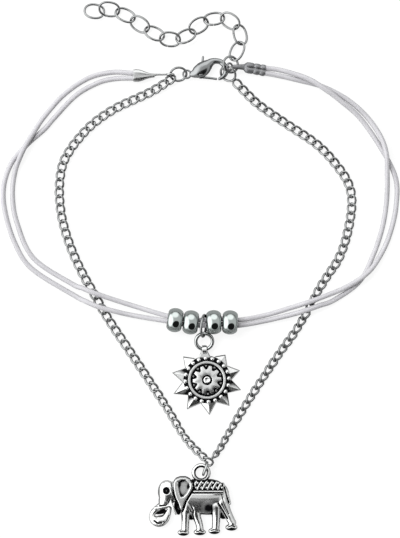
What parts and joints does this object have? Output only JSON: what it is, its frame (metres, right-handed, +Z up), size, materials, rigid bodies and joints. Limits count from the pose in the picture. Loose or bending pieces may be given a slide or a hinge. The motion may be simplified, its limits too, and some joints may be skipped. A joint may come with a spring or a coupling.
{
  "type": "anklet",
  "caption": "Cord anklet with polished beads, a sun charm, an elephant charm on a curb chain, a lobster clasp and an extender chain, lying flat.",
  "frame": {"origin": "middle of the ankle opening, on the surface that the anklet lies on", "axes": "+X to the right in plan, +Y from the middle towards the clasp, +Z up from the surface it lies on"},
  "size_m": [0.0872, 0.1172, 0.0053],
  "materials": {
    "waxed_cord": "waxed cord, satin",
    "silver_polished": "polished silver tone",
    "silver_antique": "antique silver, dark in the recesses"
  },
  "bodies": {
    "anklet": {"cord_strand_a": "waxed_cord", "cord_strand_b": "waxed_cord", "crimp_left": "silver_polished", "crimp_right": "silver_polished", "ring_left": "silver_polished", "ring_upper": "silver_polished", "ring_lower": "silver_polished", "clasp_body": "silver_polished", "clasp_rivet": "silver_polished", "extender_link_01": "silver_polished", "extender_link_02": "silver_polished", "extender_link_03": "silver_polished", "extender_link_04": "silver_polished", "extender_link_05": "silver_polished", "extender_link_06": "silver_polished", "extender_link_07": "silver_polished", "extender_link_08": "silver_polished", "extender_link_09": "silver_polished", "extender_link_10": "silver_polished", "extender_link_11": "silver_polished", "extender_end_ring": "silver_polished", "chain_left": "silver_polished", "chain_right": "silver_polished", "bead_1": "silver_polished", "bead_2": "silver_polished", "bead_3": "silver_polished", "bead_4": "silver_polished", "bail_ring": "silver_polished", "sun_ring": "silver_polished", "sun_charm": "silver_antique", "elephant_ring": "silver_polished", "elephant_charm": "silver_antique"},
    "lever": {"clasp_lever": "silver_polished"}
  },
  "joints": [
    {"name": "lever_pivot", "type": "hinge", "parent": "anklet", "child": "lever", "pos_m": [0.0002, 0.0274, 0.0013], "axis": [0, 0, 1], "range_deg": [0, 18], "stiffness_Nm_per_rad": 0.004}
  ]
}
